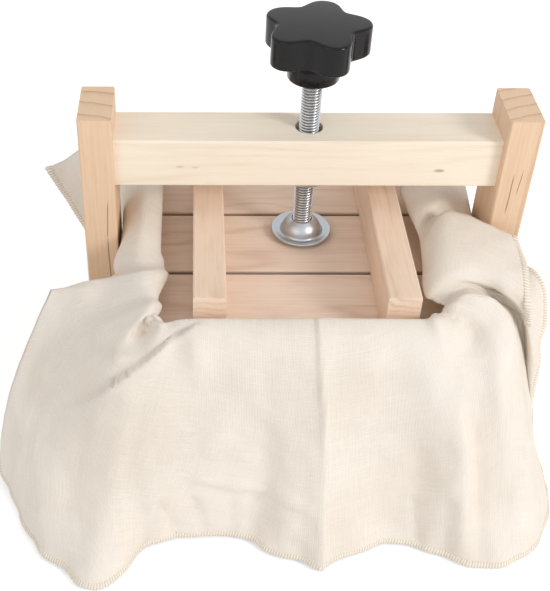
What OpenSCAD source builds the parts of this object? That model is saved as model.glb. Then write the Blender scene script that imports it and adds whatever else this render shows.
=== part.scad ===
// Wooden tofu press: a post-and-beam frame on a slatted base, a loose bottomless mould box
// lined with one square of cheesecloth, a battened lid, and a star-knob screw with a swivel foot.
// Origin: on the table, under the middle of the beam. X runs from post to post, Y towards the back.

/* [Frame] */
// Clear width between the two posts
clear_w = 150; // [126:1:190]
// Room between the battens and the beam
beam_room = 11; // [6:0.5:30]
// Depth of the beam, front to back
beam_d = 22.5; // [18:0.5:30]
// Height of the beam
beam_h = 20.5; // [16:0.5:26]
// Width of a post, across the press
post_w = 13; // [10:0.5:18]
// Depth of a post, front to back
post_d = 26; // [22.5:0.5:34]
// How far a post stands up past the beam's top
post_rise = 11; // [4:0.5:20]
// Eased edge on the sawn timber
ease = 0.6; // [0.2:0.1:1.5]

/* [Base] */
// Depth of the base, front to back
base_d = 150; // [130:1:180]
// Width of a bearer
bearer_w = 15; // [12:0.5:20]
// Height of the bearers and of the rail between them
bearer_h = 15; // [12:0.5:20]
// Depth of the rail that ties the bearers together
rail_d = 22.5; // [16:0.5:30]
// Width of a base slat
slat_w = 24; // [18:0.5:27]
// Thickness of a base slat
slat_t = 8; // [6:0.5:12]

/* [Mould] */
// Room between the mould and the left post
room_left = 2.5; // [2:0.5:12]
// Room between the mould and the right post
room_right = 7.5; // [2:0.5:12]
// Inside depth of the mould
mould_d = 123; // [100:1:128]
// Thickness of the mould's walls
wall_t = 10; // [7:0.5:11]
// Height of the mould's walls
wall_h = 67; // [56:1:76]
// How far the mould stands out over the base's front
mould_overhang = 3.5; // [-6:0.5:6]
// Fingers in each corner joint
fingers = 5; // [3:2:7]
// Diameter of a drain hole in the walls
drain_bore = 4; // [3:0.5:4]
// Drain holes in a row
drains = 5; // [3:1:7]
// Distance between drain holes
drain_pitch = 20; // [12:1:22]
// Height of the lower row of drain holes above the wall's foot
drain_low = 14; // [10:1:20]
// Height from the lower row of drain holes to the upper row
drain_step = 22; // [14:1:28]

/* [Lid] */
// Clearance between the planks' ends and the mould
lid_end_play = 2.5; // [1.5:0.1:5]
// Clearance between the lid's long edges and the mould
lid_edge_play = 2.15; // [1.5:0.05:5]
// Thickness of a lid plank
plank_t = 10; // [7:0.5:14]
// Gap between two lid planks
plank_gap = 1.6; // [0.5:0.1:3]
// How far the planks lie below the mould's rim
lid_sink = 1.5; // [0:0.5:6]
// Width of a batten on the lid
batten_w = 12.3; // [9:0.1:16]
// Height of a batten on the lid
batten_h = 20; // [14:0.5:20]
// How far a batten stands in from the planks' ends
batten_inset = 15.7; // [8:0.1:28]

/* [Screw and nut] */
// Outside diameter of the screw
screw_bore = 8; // [6:0.2:10]
// How far the screw stands to the right of the frame's middle
screw_x = 1; // [-2:0.5:2]
// Bare screw between the beam and the knob, with the foot on the lid
screw_show = 21.8; // [6:0.1:30]
// Length of screw held inside the knob
screw_grip = 14; // [10:0.5:16]
// Wall of the nut's barrel, which fills the hole in the beam
nut_wall = 1.5; // [1:0.1:2.5]
// Height of the nut's barrel inside the beam
nut_h = 9; // [6:0.5:12]
// How far the nut's flange stands out past its barrel
nut_lip = 4.5; // [2:0.5:5]
// Thickness of the nut's flange
nut_flange_t = 1.5; // [1:0.1:2.5]
// Play all round the screw in the nut
nut_play = 0.05; // [0.02:0.01:0.1]

/* [Knob] */
// Diameter of the star knob over its lobes
knob_w = 40.5; // [32:0.5:50]
// Number of lobes
lobes = 5; // [3:1:8]
// How deep the hollows between the lobes go
lobe_depth = 5; // [2:0.25:7]
// Height of the knob's star-shaped head
head_h = 12.5; // [9:0.5:16]
// Rounding of the head's edges
head_round = 1.6; // [0.6:0.1:2.5]
// Crown of the head's top
head_crown = 0.7; // [0.2:0.1:2]
// Wall of the hub round its insert
hub_wall = 4.25; // [2.5:0.25:6]
// Height of the hub
hub_h = 9; // [5:0.5:12]
// Direction of the first lobe, seen from above
lobe_turn = 3; // [0:1:71]
// Wall of the metal insert in the knob
insert_wall = 2; // [1:0.25:3]

/* [Foot] */
// How far the foot's flange stands out past its dome
flange_lip = 3.9; // [2:0.1:6]
// Room between the screw's collar and the wall of the dome
dome_room = 1.1; // [1.1:0.1:3]
// Height of the foot
foot_h = 8; // [7:0.5:10]
// Thickness of the pressed steel
foot_t = 1.2; // [0.8:0.1:1.5]
// Thickness of the plate that closes the foot
foot_plate_t = 1.5; // [1:0.1:2.5]
// How far the collar at the screw's end, which the dome holds down, stands out past the screw
collar_lip = 2.3; // [2:0.1:2.6]
// Gap between the screw and the mouth of the dome
mouth_gap = 1; // [0.5:0.1:1.2]
// Play between the collar and the foot's plate
foot_play = 0.05; // [0.02:0.01:0.2]

/* [Fasteners] */
// Shank diameter of the frame screws
wood_screw = 4; // [3:0.5:5]
// Head diameter of the frame screws
wood_screw_head = 8; // [6:0.5:9]
// Length of the screws into the beam
beam_screw_l = 32; // [26:1:40]
// Length of the screws into the bearers
bearer_screw_l = 24; // [20:1:26]
// Shank diameter of the nails
nail = 1.6; // [1.2:0.1:2.2]
// Head diameter of the nails
nail_head = 3.6; // [2.8:0.1:4.5]
// Thickness of a nail's head
nail_head_t = 0.8; // [0.5:0.1:1.2]
// How far a slat nail goes into its bearer
slat_nail_bite = 9; // [6:0.5:12]
// How far a lid nail goes into its batten
lid_nail_bite = 12; // [8:0.5:14]

/* [Cloth] */
// Thickness that stands for the folded cheesecloth
cloth_t = 1; // [0.6:0.1:1.2]
// Room between the cloth and the wood under it
cloth_gap = 0.3; // [0.2:0.1:0.5]
// How high the cloth stands over the side and back walls
side_roll = 6; // [5:0.5:10]
// How high the cloth stands over the front wall
front_roll = 12; // [6:0.5:14]

/* [Hidden] */

round_fn = 64;          // facets of a shown circle; the solids stay true circles
slats = 5;
planks = 3;
wood_pale = "#efe3cf";
wood_post = "#dcb794";
wood_lid = "#d3b091";
wood_base = "#d9bd98";
steel = "#c3c5c8";
brass = "#b9a061";
black = "#1a1a1c";
cotton = "#ece0cc";

slat_top = bearer_h + slat_t;
rim = slat_top + wall_h;
lid_top = rim - lid_sink;
lid_foot = lid_top - plank_t;
beam_foot = lid_top + batten_h + beam_room;
beam_top = beam_foot + beam_h;
post_top = beam_top + post_rise;
post_back = beam_d / 2;                     // the beam is flush with the posts' backs
post_front = post_back - post_d;
post_middle = post_back - post_d / 2;
slat_pitch = (base_d - slat_w) / (slats - 1);
out_w = clear_w - room_left - room_right;
out_d = mould_d + 2 * wall_t;
mould_w = out_w - 2 * wall_t;
mould_x = (room_left - room_right) / 2;
mould_y = out_d / 2 - base_d / 2 - mould_overhang;
finger_h = wall_h / fingers;
plank_l = mould_w - 2 * lid_end_play;
lid_d = mould_d - 2 * lid_edge_play;
plank_w = (lid_d - (planks - 1) * plank_gap) / planks;
plank_pitch = plank_w + plank_gap;
batten_pitch = plank_l - 2 * batten_inset - batten_w;
beam_hole = screw_bore + 2 * nut_wall;
insert_w = screw_bore + 2 * insert_wall;
hub_w = insert_w + 2 * hub_wall;
collar_w = screw_bore + 2 * collar_lip;
dome_w = collar_w + 2 * (dome_room + foot_t);
foot_w = dome_w + 2 * flange_lip;
knob_foot = beam_top + screw_show;
head_foot = knob_foot + hub_h;
collar_foot = lid_top + foot_plate_t + foot_play;
screw_top = knob_foot + screw_grip;
beam_screw_z = beam_h / 4;                  // the beam's two screws at each end, above and below its middle
slat_nail_y = slat_w / 4;
lid_nail_y = plank_w / 4;

// A planed bar along Z whose four long edges are eased
module bar(w, d, l, e = ease) {
    linear_extrude(l)
        polygon([[e, 0], [w - e, 0], [w, e], [w, d - e], [w - e, d], [e, d], [0, d - e], [0, e]]);
}

// The same bar lying along X: w deep in Y, h high in Z
module bar_x(l, w, h, e = ease) {
    translate([0, 0, h]) rotate([0, 90, 0]) bar(h, w, l, e);
}

// The same bar lying along Y: w wide in X, h high in Z
module bar_y(l, w, h, e = ease) {
    translate([0, l, 0]) rotate([90, 0, 0]) bar(w, h, l, e);
}

// A countersunk screw whose head is flush with the plane X = 0 and whose shank runs along +X
module wood_screw_shape(l) {
    head_l = (wood_screw_head - wood_screw) / 2;
    rotate([0, 90, 0])
        rotate_extrude($fn = round_fn)
            polygon([
                [0, 0], [wood_screw_head / 2, 0], [wood_screw / 2, head_l],
                [wood_screw / 2, l - wood_screw], [0, l]
            ]);
}

// A nail that hangs down from its head's top at Z = 0
module nail_shape(l) {
    rotate_extrude($fn = round_fn)
        polygon([
            [0, 0], [nail_head / 2, 0], [nail_head / 2, -nail_head_t], [nail / 2, -nail_head_t],
            [nail / 2, nail - l], [0, -l]
        ]);
}

// Every frame screw in its place: two through each post into the beam's end, one into the bearer
module all_frame_screws() {
    for (side = [-1, 1])
        translate([side * (clear_w / 2 + post_w), 0, 0])
            rotate([0, 0, side < 0 ? 0 : 180]) {
                for (k = [-1, 1])
                    translate([0, 0, beam_top - beam_h / 2 + k * beam_screw_z]) wood_screw_shape(beam_screw_l);
                translate([0, -side * post_middle, bearer_h / 2]) wood_screw_shape(bearer_screw_l);
            }
}

module all_slat_nails() {
    for (row = [0 : slats - 1], side = [-1, 1], k = [-1, 1])
        translate([side * (clear_w - bearer_w) / 2, slat_y(row) + k * slat_nail_y, slat_top])
            nail_shape(slat_t + slat_nail_bite);
}

module all_lid_nails() {
    for (row = [0 : planks - 1], side = [-1, 1], k = [-1, 1])
        translate([mould_x + side * batten_pitch / 2, plank_y(row) + k * lid_nail_y, lid_foot])
            mirror([0, 0, 1]) nail_shape(plank_t + lid_nail_bite);
}

function slat_y(row) = -base_d / 2 + slat_w / 2 + row * slat_pitch;
function plank_y(row) = mould_y + (row - (planks - 1) / 2) * plank_pitch;

// ---- frame ----

module post(side) {
    color(wood_post) difference() {
        translate([side < 0 ? -clear_w / 2 - post_w : clear_w / 2, post_front, 0])
            bar(post_w, post_d, post_top);
        all_frame_screws();
    }
}

module left_post() { post(-1); }
module right_post() { post(1); }

module top_beam() {
    color(wood_pale) difference() {
        translate([-clear_w / 2, -beam_d / 2, beam_foot]) bar_x(clear_w, beam_d, beam_h);
        translate([screw_x, 0, beam_foot - 1]) cylinder(d = beam_hole, h = beam_h + 2, $fn = round_fn);
        all_frame_screws();
    }
}

// A barrel nut pressed into the beam from below
module beam_nut() {
    color(steel) translate([screw_x, 0, beam_foot]) difference() {
        union() {
            cylinder(d = beam_hole, h = nut_h, $fn = round_fn);
            translate([0, 0, -nut_flange_t])
                cylinder(d = beam_hole + 2 * nut_lip, h = nut_flange_t, $fn = round_fn);
        }
        translate([0, 0, -nut_flange_t - 1])
            cylinder(r = screw_bore / 2 + nut_play, h = nut_h + nut_flange_t + 2, $fn = round_fn);
    }
}

module frame_screws() { color(steel) all_frame_screws(); }

// ---- base ----

module bearer(side) {
    color(wood_base) difference() {
        translate([side < 0 ? -clear_w / 2 : clear_w / 2 - bearer_w, -base_d / 2, 0])
            bar_y(base_d, bearer_w, bearer_h);
        all_frame_screws();
        all_slat_nails();
    }
}

module left_bearer() { bearer(-1); }
module right_bearer() { bearer(1); }

module cross_rail() {
    rail_l = clear_w - 2 * bearer_w;
    color(wood_base) translate([-rail_l / 2, -rail_d / 2, 0]) bar_x(rail_l, rail_d, bearer_h);
}

module slat(row) {
    color(wood_base) difference() {
        translate([-clear_w / 2, slat_y(row) - slat_w / 2, bearer_h]) bar_x(clear_w, slat_w, slat_t);
        all_slat_nails();
    }
}

module front_slat() { slat(0); }
module front_inner_slat() { slat(1); }
module middle_slat() { slat(2); }
module back_inner_slat() { slat(3); }
module back_slat() { slat(4); }
module slat_nails() { color(steel) all_slat_nails(); }

// ---- mould box ----

// The fingers that one board leaves free at its two ends for the boards that cross it
module finger_notches(l, first) {
    for (end = [0, l - wall_t], k = [first : 2 : fingers - 1])
        translate([end, 0, k * finger_h]) cube([wall_t, wall_t, finger_h]);
}

// A wall board along X, standing on Z = 0, with two rows of drain holes
module wall_board(l, first) {
    difference() {
        cube([l, wall_t, wall_h]);
        finger_notches(l, first);
        for (k = [0 : drains - 1], row = [0, 1])
            translate([l / 2 + (k - (drains - 1) / 2) * drain_pitch, -1, drain_low + row * drain_step])
                rotate([-90, 0, 0]) cylinder(d = drain_bore, h = wall_t + 2, $fn = round_fn);
    }
}

module mould_front() {
    color(wood_lid) translate([mould_x - out_w / 2, mould_y - out_d / 2, slat_top]) wall_board(out_w, 1);
}

module mould_back() {
    color(wood_lid) translate([mould_x - out_w / 2, mould_y + out_d / 2 - wall_t, slat_top])
        wall_board(out_w, 1);
}

module mould_left() {
    color(wood_lid) translate([mould_x - out_w / 2 + wall_t, mould_y - out_d / 2, slat_top])
        rotate([0, 0, 90]) wall_board(out_d, 0);
}

module mould_right() {
    color(wood_lid) translate([mould_x + out_w / 2, mould_y - out_d / 2, slat_top])
        rotate([0, 0, 90]) wall_board(out_d, 0);
}

// ---- lid ----

module plank(row) {
    color(wood_lid) difference() {
        translate([mould_x - plank_l / 2, plank_y(row) - plank_w / 2, lid_foot])
            bar_x(plank_l, plank_w, plank_t);
        all_lid_nails();
    }
}

module front_plank() { plank(0); }
module middle_plank() { plank(1); }
module back_plank() { plank(2); }

module batten(side) {
    color(wood_lid) difference() {
        translate([mould_x + side * batten_pitch / 2 - batten_w / 2, mould_y - lid_d / 2, lid_top])
            bar_y(lid_d, batten_w, batten_h);
        all_lid_nails();
    }
}

module left_batten() { batten(-1); }
module right_batten() { batten(1); }
module lid_nails() { color(steel) all_lid_nails(); }

// ---- knob, screw and foot ----

// Radius of the star at an angle: broad round lobes and longer, flatter hollows
function star(a) = knob_w / 2 - lobe_depth * pow((1 - cos(lobes * (a - lobe_turn))) / 2, 0.8);

// The head's rings, as [inset, height]: rounded foot edge, straight side, rounded top edge, crown
edge_steps = 4;
head_rings = concat(
    [for (k = [0 : edge_steps]) let (a = 90 * k / edge_steps)
        [head_round * (1 - sin(a)), head_round * (1 - cos(a))]],
    [for (k = [0 : edge_steps]) let (a = 90 * k / edge_steps)
        [head_round * (1 - cos(a)), head_h - head_round + head_round * sin(a)]],
    [for (k = [1 : 3]) [head_round + k * knob_w / 9, head_h + head_crown * sin(90 * k / 4)]]
);
star_points = 90;

module star_head() {
    n = star_points;
    m = len(head_rings);
    points = concat(
        [for (ring = head_rings, k = [0 : n - 1]) let (a = 360 * k / n, r = star(a) - ring[0])
            [r * cos(a), r * sin(a), ring[1]]],
        [[0, 0, 0], [0, 0, head_h + head_crown]]
    );
    sides = [for (j = [0 : m - 2], k = [0 : n - 1]) let (q = (k + 1) % n, a = j * n, b = a + n)
        each [[a + k, b + q, a + q], [a + k, b + k, b + q]]];
    foot = [for (k = [0 : n - 1]) [m * n, k, (k + 1) % n]];
    top = [for (k = [0 : n - 1]) let (a = (m - 1) * n) [m * n + 1, a + (k + 1) % n, a + k]];
    polyhedron(points, concat(sides, foot, top));
}

module knob() {
    draft = 0.5;
    color(black) translate([screw_x, 0, 0]) difference() {
        union() {
            translate([0, 0, knob_foot]) cylinder(d1 = hub_w - draft, d2 = hub_w, h = hub_h, $fn = round_fn);
            translate([0, 0, head_foot]) star_head();
        }
        translate([0, 0, knob_foot - 1]) cylinder(d = insert_w, h = screw_grip + 1, $fn = round_fn);
    }
}

module knob_insert() {
    color(brass) translate([screw_x, 0, knob_foot]) difference() {
        cylinder(d = insert_w, h = screw_grip, $fn = round_fn);
        translate([0, 0, -1]) cylinder(d = screw_bore, h = screw_grip + 2, $fn = round_fn);
    }
}

// The screw, with the collar at its lower end that turns inside the foot
module screw() {
    collar_h = foot_h - foot_plate_t - foot_t - 2;
    color(steel) translate([screw_x, 0, 0]) union() {
        translate([0, 0, collar_foot + collar_h])
            cylinder(d = screw_bore, h = screw_top - collar_foot - collar_h, $fn = round_fn);
        translate([0, 0, collar_foot]) cylinder(d = collar_w, h = collar_h / 2, $fn = round_fn);
        translate([0, 0, collar_foot + collar_h / 2])
            cylinder(d1 = collar_w, d2 = screw_bore, h = collar_h / 2, $fn = round_fn);
    }
}

// Half-section of the pressed cup: upturned flange, dome, and the mouth that the screw stands in
module foot_section() {
    flange_low = 0.5;
    rim_low = 1.6;
    mouth = screw_bore / 2 + mouth_gap;
    shoulder = foot_plate_t + 0.6;
    steps = 8;
    rise = foot_h - shoulder;
    outer = [for (k = [0 : steps]) let (a = 90 * k / steps)
        [mouth + (dome_w / 2 - mouth) * cos(a), shoulder + rise * sin(a)]];
    inner = [for (k = [steps : -1 : 0]) let (a = 90 * k / steps)
        [mouth + (dome_w / 2 - foot_t - mouth) * cos(a), shoulder + (rise - foot_t) * sin(a)]];
    polygon(concat(
        [
            [dome_w / 2 - foot_t, flange_low], [dome_w / 2 + 0.4, flange_low], [foot_w / 2, rim_low],
            [foot_w / 2, rim_low + foot_t], [dome_w / 2 + 0.4, flange_low + foot_t]
        ],
        outer, inner
    ));
}

module foot_cup() {
    color(steel) translate([screw_x, 0, lid_top]) rotate_extrude($fn = round_fn) foot_section();
}

module foot_plate() {
    color(steel) translate([screw_x, 0, lid_top])
        cylinder(r = dome_w / 2 - foot_t, h = foot_plate_t, $fn = round_fn);
}

// ---- cheesecloth ----

// The part of the cloth inside the mould: flat on the slats, and up the four walls to the rim
module cloth_lining() {
    lining_w = mould_w - 2 * cloth_gap;
    lining_d = mould_d - 2 * cloth_gap;
    foot = slat_top + cloth_gap;
    color(cotton) difference() {
        translate([mould_x - lining_w / 2, mould_y - lining_d / 2, foot])
            cube([lining_w, lining_d, rim - foot]);
        translate([mould_x - lining_w / 2 + cloth_t, mould_y - lining_d / 2 + cloth_t, foot + cloth_t])
            cube([lining_w - 2 * cloth_t, lining_d - 2 * cloth_t, wall_h]);
    }
}

// Middle lines of the four walls, which the draped cloth folds over
wall_x = (out_w - wall_t) / 2;
wall_y = (out_d - wall_t) / 2;
side_n = [[0, -1], [1, 0], [0, 1], [-1, 0]];                 // front, right, back, left: outwards
side_a = [[1, 0], [0, 1], [-1, 0], [0, -1]];                 // and along, walking round the mould
hem_low = 0.6;                                               // the hem on the table
hem_held = slat_top + 4;                                     // the hem where a post holds it in

function wall_mid(side) = [mould_x, mould_y] + [side_n[side][0] * wall_x, side_n[side][1] * wall_y];

// How far the base stands out past each wall of the mould
base_out = [for (n = side_n)
    max(0, [abs(n[0]), abs(n[1])] * [clear_w - out_w, base_d - out_d] / 2 - n * [mould_x, mould_y])
];

// A station on a wall: s along the wall from its middle, then the hem's place: out from the face of
// the wall or of the base, whichever stands further out, slip along it, and height; spread under 1
// flares at once, over 1 hangs first
function at(side, s, out, slip, z, spread, roll) = [
    wall_mid(side) + side_a[side] * s,
    side_n[side],
    concat(
        wall_mid(side) + side_n[side] * (wall_t / 2 + base_out[side] + out) + side_a[side] * (s + slip),
        [z]
    ),
    spread, roll
];

// A station where a post holds the cloth against the wall
function held(side, s, out) = at(side, s, out - base_out[side], 0, hem_held, 1, side_roll);

// A station at the corner that ends a side: dx and dy are the hem's place from the box's corner
function corner(side, dx, dy, z, spread, roll) =
    let (c = side_n[side] + side_n[(side + 1) % 4])
    [
        [mould_x, mould_y] + [c[0] * wall_x, c[1] * wall_y], c,
        [
            mould_x + c[0] * (out_w / 2 + base_out[c[0] > 0 ? 1 : 3]) + dx,
            mould_y + c[1] * (out_d / 2 + base_out[c[1] > 0 ? 2 : 0]) + dy,
            z
        ],
        spread, roll
    ];

// Distance along a side wall from its middle to a place in Y: the right wall runs back, the left forwards
function along_y(side, y) = (y - mould_y) * (side == 1 ? 1 : -1);

// The same for a share of the way from a corner of the mould to the post, in front of it or behind it
post_room = 3;
function front_bay(side, share) =
    along_y(side, mould_y - wall_y + share * (post_front - post_room - mould_y + wall_y));
function back_bay(side, share) =
    along_y(side, mould_y + wall_y + share * (post_back + post_room - mould_y - wall_y));

// The hem's main folds, walking round from the front left corner
drape = [
    [
        corner(3, -5.5, -37, hem_low, 0.9, front_roll),
        at(0, -0.91 * wall_x, 27, -12, hem_low, 0.9, front_roll),
        at(0, -0.77 * wall_x, 15, -9, hem_low, 1.0, front_roll),
        at(0, -0.58 * wall_x, 11, -8, hem_low, 1.1, front_roll),
        at(0, -0.28 * wall_x, 10, -1, hem_low, 1.2, front_roll),
        at(0, -0.05 * wall_x, 22, 1, hem_low, 1.1, front_roll),
        at(0, 0.09 * wall_x, 28, 4, hem_low, 1.0, front_roll),
        at(0, 0.23 * wall_x, 20, 7, hem_low, 1.1, front_roll),
        at(0, 0.38 * wall_x, 14, 9, hem_low, 1.2, front_roll),
        at(0, 0.6 * wall_x, 21, 18, hem_low, 1.0, front_roll),
        at(0, 0.8 * wall_x, 27, 26, hem_low, 0.9, front_roll),
        corner(0, 27.5, -3, hem_low, 0.7, front_roll)
    ],
    [
        corner(0, 27.5, -3, hem_low, 0.7, front_roll),
        at(1, front_bay(1, 0.28), 34.5, 0, hem_low, 0.5, side_roll),
        at(1, front_bay(1, 0.59), 38.5, 4, hem_low, 0.4, side_roll),
        at(1, front_bay(1, 0.84), 26.5, 2, hem_low, 0.4, side_roll),
        held(1, front_bay(1, 1), 0.5),
        held(1, along_y(1, post_middle), 0.5),
        held(1, back_bay(1, 1), 0.5),
        at(1, back_bay(1, 0.76), 16.5, 2, 14, 0.6, side_roll),
        at(1, back_bay(1, 0.4), 20.5, 4, 10, 0.7, side_roll),
        corner(1, 18.5, 13.5, 14, 0.8, side_roll)
    ],
    [
        corner(1, 18.5, 13.5, 14, 0.8, side_roll),
        at(2, -0.77 * wall_x, 11.5, 0, 8, 0.9, side_roll),
        at(2, -0.4 * wall_x, 19.5, 0, 3, 0.9, side_roll),
        at(2, 0, 10.5, 0, 5, 1.0, side_roll),
        at(2, 0.4 * wall_x, 19.5, 0, 3, 0.9, side_roll),
        at(2, 0.77 * wall_x, 12.5, 0, 12, 0.9, side_roll),
        corner(2, -35.5, -0.5, 62, 0.8, side_roll)
    ],
    [
        corner(2, -35.5, -0.5, 62, 0.8, side_roll),
        at(3, back_bay(3, 0.27), 33.5, 0, 48, 0.8, side_roll),
        at(3, back_bay(3, 0.71), 17.5, 0, 34, 0.9, side_roll),
        held(3, back_bay(3, 1), 0.2),
        held(3, along_y(3, post_middle), 0.2),
        held(3, front_bay(3, 1), 0.2),
        at(3, front_bay(3, 0.86), 35.5, 1, hem_low, 0.4, side_roll),
        at(3, front_bay(3, 0.66), 50.5, 8, hem_low, 0.4, side_roll),
        at(3, front_bay(3, 0.4), 44.5, 20, hem_low, 0.45, side_roll),
        at(3, front_bay(3, 0.17), 29.5, 34, hem_low, 0.55, side_roll),
        corner(3, -5.5, -37, hem_low, 0.9, front_roll)
    ]
];

cloth_cuts = 2;         // columns between two stations
roll_steps = 6;
fall_steps = 7;

// A smooth curve through four values, between the middle two
function smooth(a, b, c, d, t) =
    b + t / 2 * (c - a + t * (2 * a - 5 * b + 4 * c - d + t * (3 * (b - c) + d - a)));

// One column of the drape: [inner points, outer points] from inside the rim, over it, to the hem
function column(stations, i, t) =
    let (
        last = len(stations) - 1,
        p = stations[max(i - 1, 0)], q = stations[i], r = stations[i + 1], s = stations[min(i + 2, last)],
        mid = q[0] + (r[0] - q[0]) * t,
        n = q[1] + (r[1] - q[1]) * t,
        spread = q[3] + (r[3] - q[3]) * t,
        roll = q[4] + (r[4] - q[4]) * t,
        reach = wall_t / 2 + cloth_gap,
        face = mid + n * reach,
        curve = smooth(p[2], q[2], r[2], s[2], t),
        sunk = max(0, (face - [curve[0], curve[1]]) * n) / (n * n),      // keeps the hem off the wall
        hem = curve + concat(n * sunk, [0])
    )
    [for (layer = [0, cloth_t]) concat(
        [for (k = [0 : roll_steps]) let (a = 180 - 180 * k / roll_steps)
            concat(mid + n * ((reach + layer) * cos(a)), [rim + (roll + layer) * sin(a)])],
        [for (k = [1 : fall_steps]) let (
                f = k / fall_steps,
                place = face + ([hem[0], hem[1]] - face) * pow(f, spread)
            )
            concat(place + n * layer, [rim + (hem[2] - rim) * f + layer * min(0.5, 2 * f)])]
    )];

// A closed sheet of cloth between its two layers of columns
module drape_side(stations) {
    columns = concat(
        [for (i = [0 : len(stations) - 2], k = [0 : cloth_cuts - 1]) column(stations, i, k / cloth_cuts)],
        [column(stations, len(stations) - 2, 1)]
    );
    n = len(columns);
    m = roll_steps + fall_steps + 1;
    points = [for (layer = [0, 1], c = columns) each c[layer]];
    half = n * m;
    faces = concat(
        [for (i = [0 : n - 2], j = [0 : m - 2]) let (a = i * m + j, b = a + m)
            each [[a, b, b + 1], [a, b + 1, a + 1]]],
        [for (i = [0 : n - 2], j = [0 : m - 2]) let (a = half + i * m + j, b = a + m)
            each [[a, b + 1, b], [a, a + 1, b + 1]]],
        [for (i = [0 : n - 2], j = [0, m - 1]) let (a = i * m + j, b = a + m)
            each (j == 0
                ? [[a, half + a, half + b], [a, half + b, b]]
                : [[a, half + b, half + a], [a, b, half + b]])],
        [for (i = [0, n - 1], j = [0 : m - 2]) let (a = i * m + j, b = a + 1)
            each (i == 0
                ? [[a, half + b, half + a], [a, b, half + b]]
                : [[a, half + a, half + b], [a, half + b, b]])]
    );
    color(cotton) polyhedron(points, faces);
}

module cloth_front() { drape_side(drape[0]); }
module cloth_right() { drape_side(drape[1]); }
module cloth_back() { drape_side(drape[2]); }
module cloth_left() { drape_side(drape[3]); }

left_post();
right_post();
top_beam();
beam_nut();
left_bearer();
right_bearer();
cross_rail();
front_slat();
front_inner_slat();
middle_slat();
back_inner_slat();
back_slat();
frame_screws();
slat_nails();
mould_front();
mould_back();
mould_left();
mould_right();
front_plank();
middle_plank();
back_plank();
left_batten();
right_batten();
lid_nails();
knob();
knob_insert();
screw();
foot_cup();
foot_plate();
cloth_lining();
cloth_front();
cloth_right();
cloth_back();
cloth_left();
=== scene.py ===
"""Tofu press: a wooden post-and-beam press with a star-knob screw over a mould box draped in cheesecloth."""
import math

import bmesh
import bpy
from mathutils import Matrix, Vector, noise


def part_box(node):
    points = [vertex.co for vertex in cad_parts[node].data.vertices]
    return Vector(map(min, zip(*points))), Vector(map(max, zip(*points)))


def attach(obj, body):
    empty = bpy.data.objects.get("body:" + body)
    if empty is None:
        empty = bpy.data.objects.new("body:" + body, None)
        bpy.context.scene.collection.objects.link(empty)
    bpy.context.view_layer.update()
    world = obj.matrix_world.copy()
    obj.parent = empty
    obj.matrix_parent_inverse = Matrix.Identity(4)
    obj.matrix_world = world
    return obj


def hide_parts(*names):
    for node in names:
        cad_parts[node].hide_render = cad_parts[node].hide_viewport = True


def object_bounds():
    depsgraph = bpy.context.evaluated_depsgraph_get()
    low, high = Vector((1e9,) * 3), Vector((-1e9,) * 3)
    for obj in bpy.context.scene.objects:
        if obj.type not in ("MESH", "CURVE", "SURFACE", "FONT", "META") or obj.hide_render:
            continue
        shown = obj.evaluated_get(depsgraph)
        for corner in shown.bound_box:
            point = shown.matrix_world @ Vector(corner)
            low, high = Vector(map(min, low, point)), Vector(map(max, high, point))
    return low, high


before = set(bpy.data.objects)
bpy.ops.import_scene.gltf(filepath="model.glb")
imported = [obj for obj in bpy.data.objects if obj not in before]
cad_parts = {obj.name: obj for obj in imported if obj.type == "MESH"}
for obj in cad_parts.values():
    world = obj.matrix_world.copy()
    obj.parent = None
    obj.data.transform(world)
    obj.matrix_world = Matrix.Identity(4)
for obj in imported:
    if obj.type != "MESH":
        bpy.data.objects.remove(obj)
cad_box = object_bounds()
scene = bpy.context.scene
scene.view_settings.view_transform = "Standard"
MM = 0.001


def mm(*numbers):
    """A point given in millimetres."""
    return Vector(numbers) * MM


def box_mm(node):
    """Lowest and highest corner of a node, in millimetres."""
    low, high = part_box(node)
    return Vector(low) / MM, Vector(high) / MM


# ---- places taken from the frame, in millimetres ----

LEFT_POST = box_mm("left_post")
RIGHT_POST = box_mm("right_post")
WALL_LEFT = box_mm("mould_left")
WALL_RIGHT = box_mm("mould_right")
WALL_FRONT = box_mm("mould_front")
WALL_BACK = box_mm("mould_back")
PLANK_FRONT = box_mm("front_plank")
PLANK_BACK = box_mm("back_plank")
SCREW = box_mm("screw")
KNOB = box_mm("knob")
FOOT = box_mm("foot_cup")
SLAT = box_mm("front_slat")

WALL_T = WALL_FRONT[1].y - WALL_FRONT[0].y
RIM = WALL_FRONT[1].z
FLOOR_OF_MOULD = SLAT[1].z
OUT_LEFT, OUT_RIGHT = WALL_LEFT[0].x, WALL_RIGHT[1].x
OUT_FRONT, OUT_BACK = WALL_FRONT[0].y, WALL_BACK[1].y
IN_LEFT, IN_RIGHT = OUT_LEFT + WALL_T, OUT_RIGHT - WALL_T
IN_FRONT, IN_BACK = OUT_FRONT + WALL_T, OUT_BACK - WALL_T
AXIS_X = (SCREW[0].x + SCREW[1].x) / 2


# ---- camera, light and floor ----

PHOTO_W, PHOTO_H = 550, 591
FOCAL_PX = 1071.8
CENTRE_PX = Vector((207.8, 295.6))


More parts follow.
